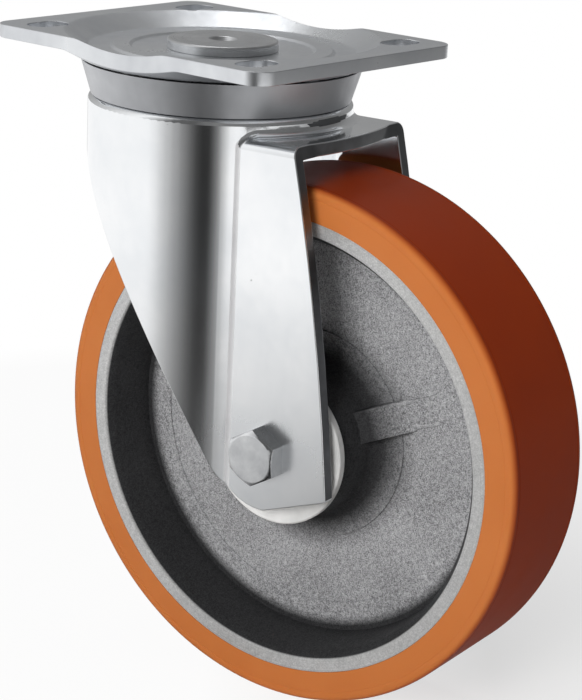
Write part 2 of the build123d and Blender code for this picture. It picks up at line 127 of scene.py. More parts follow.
def ramp(tree, value, low, high, new_low=0.0, new_high=1.0):
    """Spreads the part of a value between low and high over a new range, and clamps the rest."""
    names = ("Value", "From Min", "From Max", "To Min", "To Max")
    node = put(tree, "ShaderNodeMapRange", dict(zip(names, (value, low, high, new_low, new_high))))
    return node.outputs["Result"]


def blend_colours(tree, factor, first, second):
    """Mixes two colours by a mask."""
    mix = put(tree, "ShaderNodeMix", data_type="RGBA")
    colours = [socket for socket in mix.inputs if socket.type == "RGBA"]
    fill(tree, mix.inputs[0], factor)
    fill(tree, colours[0], first)
    fill(tree, colours[1], second)
    return next(socket for socket in mix.outputs if socket.type == "RGBA")


def calculate(tree, operation, first, second=0.0):
    """One step of arithmetic on two values."""
    node = put(tree, "ShaderNodeMath", operation=operation)
    fill(tree, node.inputs[0], first)
    fill(tree, node.inputs[1], second)
    return node.outputs[0]


def noise(tree, place, scale, detail=3.0, roughness=0.5):
    """Smooth random values, about 0.5 on average."""
    inputs = {"Vector": place, "Scale": scale, "Detail": detail, "Roughness": roughness}
    return put(tree, "ShaderNodeTexNoise", inputs).outputs["Fac"]


def stretched(tree, place, scale):
    """Coordinates scaled by a different amount along each axis, which turns noise into streaks."""
    return put(tree, "ShaderNodeMapping", {"Vector": place, "Scale": scale}).outputs["Vector"]


# %% [markdown]
# ## Shared effects as node groups
# Several finishes need the same three effects, so each is built once as a group with named inputs.
# *Plated sheet* is what zinc plating does on rolled steel: soft clouds, fine drawing streaks and a few
# dark specks. *Casting skin* is the coarse grain that moulding sand leaves. *Turned rings* are the fine
# grooves of a lathe tool, which only depend on the distance from the axis.

# %% Group builder


def new_group(name, inputs, outputs):
    """An empty shader group with float inputs, a Place input, and float outputs."""
    tree = bpy.data.node_groups.new(name, "ShaderNodeTree")
    tree.interface.new_socket("Place", in_out="INPUT", socket_type="NodeSocketVector")
    for label, value in inputs.items():
        socket = tree.interface.new_socket(label, in_out="INPUT", socket_type="NodeSocketFloat")
        socket.default_value = value
    for label in outputs:
        tree.interface.new_socket(label, in_out="OUTPUT", socket_type="NodeSocketFloat")
    start = tree.nodes.new("NodeGroupInput").outputs
    end = tree.nodes.new("NodeGroupOutput").inputs
    return tree, start, end


def use_group(tree, group, inputs):
    """Places a group in a material and gives back its outputs."""
    node = put(tree, "ShaderNodeGroup", node_tree=group)
    for name, value in inputs.items():
        fill(tree, node.inputs[name], value)
    return node.outputs


# %% Plated sheet
plated_sheet, start, end = new_group(
    "plated_sheet",
    {"Cloud Scale": 28.0, "Grain Scale": 900.0, "Streak Scale": 420.0},
    ("Clouds", "Streaks", "Specks", "Height"),
)
clouds = noise(plated_sheet, start["Place"], start["Cloud Scale"], 4.0, 0.6)
grain = noise(plated_sheet, start["Place"], start["Grain Scale"], 3.0, 0.6)
along_z = stretched(plated_sheet, start["Place"], (1.0, 1.0, 0.05))
streaks = noise(plated_sheet, along_z, start["Streak Scale"], 2.0, 0.5)
speck_cells = put(
    plated_sheet, "ShaderNodeTexVoronoi", {"Vector": start["Place"], "Scale": 330.0, "Randomness": 1.0}
)
speck_size = ramp(plated_sheet, noise(plated_sheet, start["Place"], 55.0, 2.0), 0.56, 0.72, 0.0, 0.10)
specks = calculate(plated_sheet, "LESS_THAN", speck_cells.outputs["Distance"], speck_size)
height = calculate(plated_sheet, "MULTIPLY", grain, 0.6)
height = calculate(plated_sheet, "ADD", height, calculate(plated_sheet, "MULTIPLY", streaks, 0.4))
height = calculate(plated_sheet, "SUBTRACT", height, calculate(plated_sheet, "MULTIPLY", specks, 0.5))
for label, value in (("Clouds", clouds), ("Streaks", streaks), ("Specks", specks), ("Height", height)):
    plated_sheet.links.new(value, end[label])

# %% Casting skin
casting_skin, start, end = new_group("casting_skin", {"Grain Scale": 1900.0}, ("Tone", "Height"))
fine_grain = noise(casting_skin, start["Place"], start["Grain Scale"], 2.0, 0.7)
lump_scale = calculate(casting_skin, "MULTIPLY", start["Grain Scale"], 0.35)
lumps = noise(casting_skin, start["Place"], lump_scale, 3.0, 0.6)
broad = noise(casting_skin, start["Place"], 40.0, 3.0, 0.5)
fine_share = calculate(casting_skin, "MULTIPLY", fine_grain, 0.7)
lump_share = calculate(casting_skin, "MULTIPLY", lumps, 0.3)
mixed = calculate(casting_skin, "ADD", fine_share, lump_share)
tone = calculate(casting_skin, "ADD", mixed, calculate(casting_skin, "MULTIPLY", broad, 0.15))
casting_skin.links.new(ramp(casting_skin, tone, 0.42, 0.74), end["Tone"])
casting_skin.links.new(mixed, end["Height"])

# %% Turned rings
turned_rings, start, end = new_group(
    "turned_rings",
    {"Rings per Metre": 2500.0},
    ("Rings", "Radius", "Along"),
)
split = put(turned_rings, "ShaderNodeSeparateXYZ", {"Vector": start["Place"]}).outputs
y_squared = calculate(turned_rings, "MULTIPLY", split["Y"], split["Y"])
z_squared = calculate(turned_rings, "MULTIPLY", split["Z"], split["Z"])
radius = calculate(turned_rings, "SQRT", calculate(turned_rings, "ADD", y_squared, z_squared))
turns = put(turned_rings, "ShaderNodeCombineXYZ", {"X": radius, "Y": split["X"], "Z": 0.0}).outputs[0]
rings = noise(turned_rings, turns, start["Rings per Metre"], 2.0, 0.6)
turned_rings.links.new(rings, end["Rings"])
turned_rings.links.new(radius, end["Radius"])
turned_rings.links.new(calculate(turned_rings, "ABSOLUTE", split["X"]), end["Along"])
print("groups:", [group.name for group in bpy.data.node_groups])

# %% [markdown]
# ## Starting a material
# Every pattern reads Object coordinates, turned into the frame of the piece it is on: the plate's own,
# the fork's, or the wheel's with X along the axle. A Mapping node of type Texture does that turning
# the right way round, because it undoes the place and the turn that it is given.

# %% Material starter


def start_material(name, place=(0, 0, 0), turn=0.0):
    """A node material with its Principled shader and its own turned coordinates."""
    material = bpy.data.materials.new(name)
    material.use_nodes = True
    tree = material.node_tree
    shader = tree.nodes["Principled BSDF"]
    coordinates = put(tree, "ShaderNodeTexCoord").outputs["Object"]
    mapping = put(tree, "ShaderNodeMapping", {"Vector": coordinates}, vector_type="TEXTURE")
    mapping.inputs["Location"].default_value = place
    mapping.inputs["Rotation"].default_value = (0, 0, turn)
    return material, tree, shader, mapping.outputs["Vector"]


def add_bump(tree, shader, height, distance, strength=1.0):
    """Feeds a height into the shader's normal. Distance is the relief in metres."""
    bump = put(tree, "ShaderNodeBump", {"Height": height, "Distance": distance, "Strength": strength})
    tree.links.new(bump.outputs["Normal"], shader.inputs["Normal"])


def set_shader(shader, **values):
    """Sets plain values on the shader's own sockets."""
    for name, value in values.items():
        shader.inputs[name.replace("_", " ")].default_value = value


# %% [markdown]
# ## Bright zinc plating
# The plate and the fork are pressed from rolled sheet and zinc plated, which leaves a blue-white mirror
# that is never quite clean. A single metal shader would look like chrome, so one recipe adds what plating
# has: a roughness that wanders with the clouds and streaks, and a very shallow relief. The dust ring and
# the guard discs are duller than the plate. The fork's cut edge is dull steel, painted darker still as
# painted shade, and its creases are pale and half diffuse, a painted highlight where they would show a
# dark line. The fork itself gets rougher towards its foot, so that the leg doesn't mirror the bolt
# sharply.

# %% Zinc finishes
speck_tone = (0.1, 0.1, 0.1, 1)
foot_heights = (-60 * mm, -150 * mm)


def zinc(name, light, dark, smooth, rough, relief, place=(0, 0, 0), turn=0.0, metal=1.0, dull_foot=0.0):
    """Zinc plated sheet between two tones and two roughness values, duller by dull_foot low down."""
    material, tree, shader, coordinates = start_material(name, place, turn)
    sheet = use_group(tree, plated_sheet, {"Place": coordinates})
    mottle = ramp(tree, sheet["Clouds"], 0.35, 0.65)
    colour = blend_colours(tree, mottle, dark, light)
    speckled = calculate(tree, "MULTIPLY", sheet["Specks"], 0.6)
    colour = blend_colours(tree, speckled, colour, speck_tone)
    tree.links.new(colour, shader.inputs["Base Color"])
    wander = calculate(tree, "MULTIPLY", mottle, 0.5)
    wander = calculate(tree, "ADD", wander, calculate(tree, "MULTIPLY", sheet["Streaks"], 0.5))
    roughness = ramp(tree, wander, 0.2, 0.8, rough, smooth)
    if dull_foot:
        height = put(tree, "ShaderNodeSeparateXYZ", {"Vector": coordinates}).outputs["Z"]
        worn = ramp(tree, height, *foot_heights, 0.0, dull_foot)
        roughness = calculate(tree, "ADD", roughness, worn)
    tree.links.new(roughness, shader.inputs["Roughness"])
    add_bump(tree, shader, sheet["Height"], relief)
    set_shader(shader, Metallic=metal)
    return material


# %% Zinc for each pressing
plate_light = (0.84, 0.86, 0.88, 1)
plate_dark = (0.70, 0.72, 0.75, 1)
plate_zinc = zinc("plate_zinc", plate_light, plate_dark, 0.26, 0.40, 0.03 * mm)
fork_light = (0.94, 0.95, 0.96, 1)
fork_dark = (0.86, 0.88, 0.90, 1)
fork_zinc = zinc(
    "fork_zinc", fork_light, fork_dark, 0.07, 0.13, 0.004 * mm, turn=rest_turn, dull_foot=0.2
)
# painted shade: the cut edge's tones are far darker than dull steel alone, standing in for the shade on it
cut_light = (0.26, 0.27, 0.28, 1)
cut_dark = (0.14, 0.145, 0.15, 1)
cut_zinc = zinc("cut_zinc", cut_light, cut_dark, 0.36, 0.5, 0.03 * mm, turn=rest_turn)
# painted highlight: the creases take pale, half diffuse tones so that they read bright instead of as a
# dark line
crease_light = (0.80, 0.80, 0.81, 1)
crease_dark = (0.72, 0.72, 0.73, 1)
crease_painted_light_zinc = zinc(
    "crease_painted_light_zinc", crease_light, crease_dark, 0.4, 0.5, 0.01 * mm, turn=rest_turn, metal=0.5
)
ring_light = (0.57, 0.58, 0.60, 1)
ring_dark = (0.48, 0.49, 0.51, 1)
ring_zinc = zinc("ring_zinc", ring_light, ring_dark, 0.34, 0.46, 0.012 * mm)
guard_light = (0.84, 0.835, 0.82, 1)
guard_dark = (0.50, 0.50, 0.49, 1)
guard_zinc = zinc(
    "guard_zinc", guard_light, guard_dark, 0.4, 0.55, 0.04 * mm, axle_middle, rest_turn, metal=0.25
)
print("zinc finishes:", [name for name in bpy.data.materials.keys() if name.endswith("zinc")])

# %% [markdown]
# ## Turned steel
# Bolt, nuts, bearing rings and spacers come off a lathe or a header, and fine rings round the axis show
# on their faces. A bump of rings alone would sparkle, so the rings change the roughness as well. The
# balls and bearing rings are ground, so their rings are the shallowest.

# %% Turned steel finishes


def turned_steel(name, light, dark, smooth, rough, relief, place=axle_middle, turn=rest_turn, dip=0.0):
    """Metal with the fine rings of a lathe tool round the local X axis."""
    material, tree, shader, coordinates = start_material(name, place, turn)
    if dip:
        tilt = put(tree, "ShaderNodeMapping", {"Vector": coordinates, "Rotation": (0, dip, 0)})
        coordinates = tilt.outputs["Vector"]
    lathe = use_group(tree, turned_rings, {"Place": coordinates})
    sheet = use_group(tree, plated_sheet, {"Place": coordinates, "Cloud Scale": 90.0})
    mottle = ramp(tree, sheet["Clouds"], 0.3, 0.7)
    tree.links.new(blend_colours(tree, mottle, dark, light), shader.inputs["Base Color"])
    tree.links.new(ramp(tree, lathe["Rings"], 0.3, 0.7, smooth, rough), shader.inputs["Roughness"])
    add_bump(tree, shader, lathe["Rings"], relief)
    set_shader(shader, Metallic=1.0)
    return material


# %% Steel for each turned piece
upright = pi / 2
bolt_light = (0.84, 0.85, 0.86, 1)
bolt_dark = (0.56, 0.57, 0.59, 1)
bolt_steel = turned_steel("bolt_steel", bolt_light, bolt_dark, 0.10, 0.20, 0.012 * mm)
pin_light = (0.72, 0.73, 0.74, 1)
pin_dark = (0.56, 0.57, 0.58, 1)
pin_steel = turned_steel(
    "pin_steel", pin_light, pin_dark, 0.25, 0.4, 0.03 * mm, swivel_axis_foot, 0.0, upright
)
ground_light = (0.7, 0.7, 0.7, 1)
ground_dark = (0.6, 0.6, 0.6, 1)
bearing_steel = turned_steel("bearing_steel", ground_light, ground_dark, 0.12, 0.25, 0.005 * mm)
race_light = (0.6, 0.6, 0.6, 1)
race_dark = (0.5, 0.5, 0.5, 1)
race_steel = turned_steel(
    "race_steel", race_light, race_dark, 0.2, 0.35, 0.01 * mm, swivel_axis_foot, 0.0, upright
)
print("steel finishes:", [name for name in bpy.data.materials.keys() if name.endswith("steel")])

# %% [markdown]
# ## Cage plastic
# The ball cages are moulded in dark nylon. Only a slight mottling and a soft sheen show.

# %% Cage plastic
cage_black = (0.02, 0.02, 0.022, 1)
cage_grey = (0.05, 0.05, 0.055, 1)
cage_plastic, tree, shader, coordinates = start_material("cage_plastic", axle_middle, rest_turn)
mottle = noise(tree, coordinates, 300.0, 2.0)
tree.links.new(blend_colours(tree, mottle, cage_black, cage_grey), shader.inputs["Base Color"])
tree.links.new(ramp(tree, mottle, 0.3, 0.7, 0.4, 0.55), shader.inputs["Roughness"])
add_bump(tree, shader, mottle, 0.02 * mm)

# %% [markdown]
# ## Cast wheel centre
# The casting is sprayed with silver lacquer, so its sand grain shows through as a grey sparkle. The steep
# walls of the rim and the hub are painted nearly black: that is painted shade for the deep hollow of the
# wheel and round the hub. Where the rim was faced on the lathe, the metal is bare and bright with fine
# rings. Three materials would need the mesh cut between them, so one holds all three, and masks pick each
# stretch by its distance from the axle and along it.

# %% Casting finish
rim_face_start = 82.6 * mm
rim_face_depth = 20.5 * mm
rim_face_blend = 0.4 * mm
wall_start = 73 * mm
wall_blend = 4 * mm
hub_wall = 33 * mm
hub_shade = 47 * mm
shaded_share = 0.93
cast_dark = (0.10, 0.10, 0.104, 1)
cast_light = (0.56, 0.56, 0.57, 1)
painted_wall_shade = (0.012, 0.012, 0.013, 1)
turned_dark = (0.42, 0.42, 0.42, 1)
turned_light = (0.92, 0.92, 0.91, 1)
casting_grey, tree, shader, coordinates = start_material("casting_grey", axle_middle, rest_turn)
skin = use_group(tree, casting_skin, {"Place": coordinates})
lathe = use_group(tree, turned_rings, {"Place": coordinates, "Rings per Metre": 1800.0})
cast_colour = blend_colours(tree, skin["Tone"], cast_dark, cast_light)
# painted shade: the rim's inner wall and the disc round the hub are darkened nearly to black, as if in
# shade
at_wall = ramp(tree, lathe["Radius"], wall_start, wall_start + wall_blend)
at_hub = ramp(tree, lathe["Radius"], hub_shade, hub_wall)
painted_recess_shade = calculate(tree, "MULTIPLY", calculate(tree, "MAXIMUM", at_wall, at_hub), shaded_share)
cast_colour = blend_colours(tree, painted_recess_shade, cast_colour, painted_wall_shade)
ring_tone = calculate(tree, "MULTIPLY", lathe["Rings"], skin["Tone"])
turned_colour = blend_colours(tree, ring_tone, turned_dark, turned_light)
on_rim = ramp(tree, lathe["Radius"], rim_face_start, rim_face_start + rim_face_blend)
near_face = ramp(tree, lathe["Along"], rim_face_depth, rim_face_depth + rim_face_blend)
machined = calculate(tree, "MULTIPLY", on_rim, near_face)
tree.links.new(blend_colours(tree, machined, cast_colour, turned_colour), shader.inputs["Base Color"])
cast_roughness = ramp(tree, skin["Tone"], 0.0, 1.0, 0.62, 0.42)
turned_roughness = ramp(tree, lathe["Rings"], 0.3, 0.7, 0.42, 0.55)
rough_mix = put(tree, "ShaderNodeMix", data_type="FLOAT")
fill(tree, rough_mix.inputs[0], machined)
fill(tree, rough_mix.inputs[2], cast_roughness)
fill(tree, rough_mix.inputs[3], turned_roughness)
tree.links.new(rough_mix.outputs[0], shader.inputs["Roughness"])
tree.links.new(ramp(tree, machined, 0.0, 1.0, 0.2, 0.5), shader.inputs["Metallic"])
relief_mix = put(tree, "ShaderNodeMix", data_type="FLOAT")
fill(tree, relief_mix.inputs[0], machined)
fill(tree, relief_mix.inputs[2], skin["Height"])
fill(tree, relief_mix.inputs[3], calculate(tree, "MULTIPLY", lathe["Rings"], 0.15))
add_bump(tree, shader, relief_mix.outputs[0], 0.14 * mm)
set_shader(shader, Specular_IOR_Level=0.25)

# %% [markdown]
# ## Orange tread
# The tread is cast polyurethane: dense, a little waxy and slightly translucent. The moulded rolling face
# is deep red-brown, and the sides, which the light enters from the edge, look brighter and more yellow.
# Real scattering alone would take many samples to show that, so a mask along the axle sets the colour,
# and passes softly from one to the other over the shoulder.

# %% Tread finish
tread_half = 25 * mm
blend_start = 3.4 * mm
blend_end = 0.2 * mm
side_deep = (0.46, 0.135, 0.032, 1)
side_pale = (0.53, 0.175, 0.047, 1)
face_deep = (0.30, 0.032, 0.0035, 1)
face_pale = (0.37, 0.044, 0.005, 1)
tread_orange, tree, shader, coordinates = start_material("tread_orange", axle_middle, rest_turn)
lathe = use_group(tree, turned_rings, {"Place": coordinates, "Rings per Metre": 900.0})
mottle = noise(tree, coordinates, 30.0, 3.0, 0.5)
side_colour = blend_colours(tree, mottle, side_deep, side_pale)
face_colour = blend_colours(tree, mottle, face_deep, face_pale)
on_side = ramp(tree, lathe["Along"], tread_half - blend_start, tread_half - blend_end)
on_side = calculate(tree, "POWER", on_side, 2.2)
tree.links.new(blend_colours(tree, on_side, face_colour, side_colour), shader.inputs["Base Color"])
tree.links.new(ramp(tree, mottle, 0.3, 0.7, 0.38, 0.48), shader.inputs["Roughness"])
fine = noise(tree, coordinates, 700.0, 2.0)
add_bump(tree, shader, calculate(tree, "ADD", fine, lathe["Rings"]), 0.01 * mm)
set_shader(shader, Subsurface_Weight=0.12, Subsurface_Scale=0.003, Specular_IOR_Level=0.12)
shader.inputs["Subsurface Radius"].default_value = (1.0, 0.35, 0.1)

# %% [markdown]
# ## White nylon
# The lock ring of the axle nut is a band of white nylon, pressed into the collar. It grips the thread.

# %% Nylon finish
nylon_shade = (0.62, 0.64, 0.66, 1)
nylon_light = (0.78, 0.8, 0.82, 1)
nylon_white, tree, shader, coordinates = start_material("nylon_white", axle_middle, rest_turn)
mottle = noise(tree, coordinates, 500.0, 2.0)
tree.links.new(blend_colours(tree, mottle, nylon_shade, nylon_light), shader.inputs["Base Color"])
tree.links.new(ramp(tree, mottle, 0.3, 0.7, 0.35, 0.5), shader.inputs["Roughness"])
add_bump(tree, shader, mottle, 0.02 * mm)

# %% [markdown]
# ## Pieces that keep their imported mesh
# The axle tube, the distance sleeve and the two ball cages lie inside the wheel. Nobody sees their edges,
# so they keep the mesh they came with and only take a material.

# %% Give the plain nodes their finish
finishes = {
    bolt_steel: ("axle_tube", "distance_sleeve"),
    cage_plastic: ("near_ball_cage", "far_ball_cage"),
}
for material, names in finishes.items():
    for name in names:
        node = frame["nodes"][name]
        node.data.materials.clear()
        node.data.materials.append(material)
        print(name, "takes", material.name)

# %% [markdown]
# ## From a bmesh to a finished piece
# Every new piece ends the same way: its faces are smooth up to a sharp angle, its normals are weighted
# by area so that flat faces stay flat beside a rounded edge, and it rides on the body that its node is on.

# %% Finish a piece


def keep_piece(shape, name, material, node_name, replaces=True, sharp_angle=35, more=()):
    """Turns a bmesh into an object that rides with a node's body, and may stand for that node."""
    for face in shape.faces:
        face.smooth = True
    data = bpy.data.meshes.new(name)
    shape.to_mesh(data)
    shape.free()
    data.set_sharp_from_angle(angle=radians(sharp_angle))
    data.materials.append(material)
    for other in more:
        data.materials.append(other)
    item = bpy.data.objects.new(name, data)
    bpy.context.scene.collection.objects.link(item)
    weighting = item.modifiers.new("flat_faces_stay_flat", "WEIGHTED_NORMAL")
    weighting.keep_sharp = True
    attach(item, frame["nodes"][node_name]["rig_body"])
    if replaces:
        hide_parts(node_name)
    print(name, len(data.polygons), "faces")
    return item


# %% [markdown]
# ## Softened edges
# No pressed or turned edge is a true knife edge: a press leaves a small round, and so does the plating
# bath. That round is what catches a thin line of light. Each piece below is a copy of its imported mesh,
# welded, cleared of the lines inside its flat faces, and bevelled along every sharp edge.

# %% Softened copies


def softened(node_name, width, sharp_angle=35):
    """Copies a node's mesh with its sharp edges rounded."""
    shape = bmesh.new()
    shape.from_mesh(frame["nodes"][node_name].data)
    bmesh.ops.remove_doubles(shape, verts=shape.verts, dist=0.001 * mm)
    bmesh.ops.dissolve_limit(shape, angle_limit=radians(1), verts=shape.verts, edges=shape.edges)
    closed = [edge for edge in shape.edges if edge.is_manifold]
    sharp = [edge for edge in closed if edge.calc_face_angle(0) > radians(sharp_angle)]
    bmesh.ops.bevel(
        shape,
        geom=sharp,
        offset=width,
        offset_type="OFFSET",
        segments=2,
        profile=0.5,
        affect="EDGES",
        material=-1,
    )
    bmesh.ops.dissolve_degenerate(shape, dist=0.004 * mm, edges=shape.edges)
    return shape


soft_pieces = (
    ("top_plate", "plate_pressing", plate_zinc, "zinc_plate", 0.3),
    ("dust_ring", "rolled_dust_ring", ring_zinc, "zinc_fork", 0.3),
    ("near_thread_guard", "near_guard_disc", guard_zinc, "zinc_fork", 0.2),
    ("far_thread_guard", "far_guard_disc", guard_zinc, "zinc_fork", 0.2),
    ("kingpin_nut", "kingpin_lock_nut", pin_steel, "fasteners", 0.2),
    ("lower_race", "lower_race_ring", race_steel, "bearing_steel", 0.2),
    ("near_inner_ring", "near_inner_race", bearing_steel, "bearing_steel", 0.2),
    ("far_inner_ring", "far_inner_race", bearing_steel, "bearing_steel", 0.2),
    ("near_outer_ring", "near_outer_race", bearing_steel, "bearing_steel", 0.2),
    ("far_outer_ring", "far_outer_race", bearing_steel, "bearing_steel", 0.2),
    ("near_spacer", "near_spacer_washer", bolt_steel, "fasteners", 0.15),
    ("far_spacer", "far_spacer_washer", bolt_steel, "fasteners", 0.15),
    ("wheel_centre", "cast_wheel_centre", casting_grey, "casting", 0.2),
)
for node_name, name, material, slot, width in soft_pieces:
    keep_piece(softened(node_name, width * mm), name, material, node_name)

# %% [markdown]
# ## The fork's cut edges and creases
# The blanking press leaves the edge of the sheet torn and dull beside its rolled faces. The faces that
# look straight back along the fork are that edge, so they take a second finish, darker than dull steel
# alone: the extra dark is painted shade. Where a leg leaves the round crown, the sheet is drawn over a
# hollow crease that would show a dark line, so its faces take a pale, half diffuse finish: a painted
# highlight. Those faces are picked by place: each lies just outside the crown's radius and just outside
# the leg's plane.

# %% Fork
fork_round = 0.4 * mm
straight_back = 0.97
behind_crown = 28 * mm
crown_radius = 50 * mm
leg_plane = 36 * mm
crease_reach = 3 * mm
just_off = 0.01 * mm
nearly_upright = 0.1
fork_shape = softened("fork", fork_round)
fork_back = Matrix.Rotation(rest_turn, 3, "Z") @ Vector((0, -1, 0))
leg_out = Matrix.Rotation(rest_turn, 3, "Z") @ Vector((-1, 0, 0))
cut_faces = []
crease_faces = []
for face in fork_shape.faces:
    centre = face.calc_center_median()
    if face.normal.dot(fork_back) > straight_back and centre.dot(fork_back) > behind_crown:
        cut_faces.append(face)
    off_drum = just_off < centre.xy.length - crown_radius < crease_reach
    off_leg = just_off < abs(centre.dot(leg_out)) - leg_plane < crease_reach
    at_back = abs(face.normal.z) < nearly_upright and centre.dot(fork_back) > 0
    if off_drum and off_leg and at_back:
        crease_faces.append(face)
for face in cut_faces:
    face.material_index = 1
for face in crease_faces:
    face.material_index = 2
print("cut edge faces:", len(cut_faces), "crease faces:", len(crease_faces))
keep_piece(fork_shape, "fork_pressing", fork_zinc, "fork", more=(cut_zinc, crease_painted_light_zinc))

# %% [markdown]
# ## Screw threads
# A thread is one triangular ridge wound round a core. The spin operator does it in one go when each step
# also moves along the axis. Only the ends that stand out of a nut need one, so the core is drawn in
# there, between two cuts, and the ridge is wound over it.

# %% Threaded ends


def placed(axis_point, turn, upright_axis):
    """The matrix that carries a piece made along X from the origin to its axis on the castor."""
    direction = Matrix.Rotation(upright, 4, "Y") if upright_axis else Matrix.Identity(4)
    return Matrix.Translation(axis_point) @ Matrix.Rotation(turn, 4, "Z") @ direction


def draw_in_end(shape, place, start, ratio):
    """Narrows the core of a screw beyond start, in the screw's own frame."""
    step_width = 0.1 * mm
    back = place.inverted()
    bmesh.ops.transform(shape, matrix=back, verts=shape.verts)
    for cut in (start, start + step_width):
        bmesh.ops.bisect_plane(
            shape,
            geom=[*shape.verts, *shape.edges, *shape.faces],
            dist=0.001 * mm,
            plane_co=(cut, 0, 0),
            plane_no=(1, 0, 0),
        )
    beyond = [vert for vert in shape.verts if vert.co.x > start + step_width / 2]
    bmesh.ops.scale(shape, vec=(1, ratio, ratio), verts=beyond)
    bmesh.ops.transform(shape, matrix=place, verts=shape.verts)


def thread(crest, pitch, start, length, place):
    """A triangular ridge wound along X, from start over a length, then carried to its place."""
    shape = bmesh.new()
    root = crest - 0.55 * pitch
    half = 0.42 * pitch
    ridge = ((start - half, 0, root), (start, 0, crest), (start + half, 0, root))
    corners = [shape.verts.new(point) for point in ridge]
    face = shape.faces.new(corners)
    steps_a_turn = 36
    steps = round(length / pitch * steps_a_turn)
    bmesh.ops.spin(
        shape,
        geom=[face],
        axis=(1, 0, 0),
        cent=(0, 0, 0),
        dvec=(length / steps, 0, 0),
        angle=2 * pi * steps / steps_a_turn,
        steps=steps,
    )
    bmesh.ops.transform(shape, matrix=place, verts=shape.verts)
    bmesh.ops.recalc_face_normals(shape, faces=shape.faces)
    return shape


# %% Axle bolt
axle_place = placed(axle_middle, rest_turn, False)
bolt_points = [axle_place.inverted() @ vert.co for vert in frame["nodes"]["axle_bolt"].data.vertices]
bolt_end = max(point.x for point in bolt_points)
hexagon_round = 0.12 * mm
bolt_pitch = 1.75 * mm
bolt_crest = 5.95 * mm
bolt_core_share = 0.84
bolt_core_start = bolt_end - 3.2 * mm
bolt_thread_start = bolt_end - 3.4 * mm
bolt_thread_length = 2.5 * mm
bolt_shape = softened("axle_bolt", hexagon_round)
draw_in_end(bolt_shape, axle_place, bolt_core_start, bolt_core_share)
keep_piece(bolt_shape, "axle_screw", bolt_steel, "axle_bolt")
bolt_thread = thread(bolt_crest, bolt_pitch, bolt_thread_start, bolt_thread_length, axle_place)
keep_piece(bolt_thread, "axle_screw_thread", bolt_steel, "axle_bolt", False)
print("bolt ends", round(bolt_end / mm, 2), "mm from the middle")

# %% Kingpin
pin_place = placed(swivel_axis_foot, 0.0, True)
pin_end = -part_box("kingpin")[0].z
pin_round = 0.25 * mm
pin_pitch = 1.5 * mm
pin_crest = 9.95 * mm
pin_core_share = 0.9
pin_core_start = pin_end - 2.6 * mm
pin_thread_length = 1.8 * mm
pin_shape = softened("kingpin", pin_round)
draw_in_end(pin_shape, pin_place, pin_core_start, pin_core_share)
keep_piece(pin_shape, "kingpin_rivet", pin_steel, "kingpin")
pin_thread = thread(pin_crest, pin_pitch, pin_core_start, pin_thread_length, pin_place)
keep_piece(pin_thread, "kingpin_rivet_thread", pin_steel, "kingpin", False)
print("kingpin ends", round(pin_end / mm, 2), "mm down")

# %% [markdown]
# ## Lock nut
# The axle nut is a hexagon with a round collar, and the collar holds the nylon ring. The ring is a small
# closed section spun round the axle, so its face is rounded where the thread has pushed it out.

# %% Spun rings


def spun(profile, steps, place):
    """Spins a closed profile of (along, radius) points round X, and carries it to its place."""
    shape = bmesh.new()
    corners = [shape.verts.new((along, 0, radius)) for along, radius in profile]
    edges = [shape.edges.new(pair) for pair in zip(corners, corners[1:] + corners[:1])]
    bmesh.ops.spin(
        shape,
        geom=[*corners, *edges],
        axis=(1, 0, 0),
        cent=(0, 0, 0),
        angle=2 * pi,
        steps=steps,
        use_merge=True,
    )
    bmesh.ops.remove_doubles(shape, verts=shape.verts, dist=0.001 * mm)
    bmesh.ops.recalc_face_normals(shape, faces=shape.faces)
    bmesh.ops.transform(shape, matrix=place, verts=shape.verts)
    return shape


def round_rims(shape, width, sharp_angle=30, segments=3):
    """Rounds the sharp circles of a spun shape."""
    sharp = [edge for edge in shape.edges if edge.calc_face_angle(0) > radians(sharp_angle)]
    bmesh.ops.bevel(
        shape,
        geom=sharp,
        offset=width,
        offset_type="OFFSET",
        segments=segments,
        profile=0.5,
        affect="EDGES",
        material=-1,
    )


# %% Nut and nylon ring
nut_shape = softened("axle_nut", hexagon_round, 50)
keep_piece(nut_shape, "axle_lock_nut", bolt_steel, "axle_nut")
nut_face = bolt_end - 2.0 * mm
ring_bottom = nut_face - 1.5 * mm
ring_top = nut_face + 0.25 * mm
ring_bore = 6.0 * mm
ring_outer = 7.3 * mm
ring_round = 0.2 * mm
ring_profile = (
    (ring_bottom, ring_bore),
    (ring_top, ring_bore),
    (ring_top, ring_outer),
    (ring_bottom, ring_outer),
)
nylon_shape = spun(ring_profile, 48, axle_place)
round_rims(nylon_shape, ring_round)
keep_piece(nylon_shape, "nut_lock_ring", nylon_white, "axle_nut", False)

# %% [markdown]
# ## Balls
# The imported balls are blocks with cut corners, which keeps their motion light. Here each one is a round
# ball in the same place, with just enough faces to look round through the gaps. An icosphere spends its
# faces more evenly than a globe with poles. The lower row has an odd number of balls, so the middle of
# its box is off the axis, and only its height is used.

# %% Rows of balls


def ball_row(node_name, name, count, diameter, pitch_radius, middle, around_axle):
    """A ring of balls about the axle or the swivel axis."""
    shape = bmesh.new()
    for number in range(count):
        turn = 2 * pi * number / count
        if around_axle:
            spot = Vector((0, cos(turn) * pitch_radius, sin(turn) * pitch_radius))
        else:
            spot = Vector((cos(turn) * pitch_radius, sin(turn) * pitch_radius, 0))
        place = Matrix.Translation(spot)
        bmesh.ops.create_icosphere(shape, subdivisions=2, radius=diameter / 2, matrix=place)
    bmesh.ops.transform(shape, matrix=middle, verts=shape.verts)
    return keep_piece(shape, name, bearing_steel, node_name)


def box_middle(node_name):
    """The middle of a node's box."""
    low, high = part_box(node_name)
    return (low + high) / 2


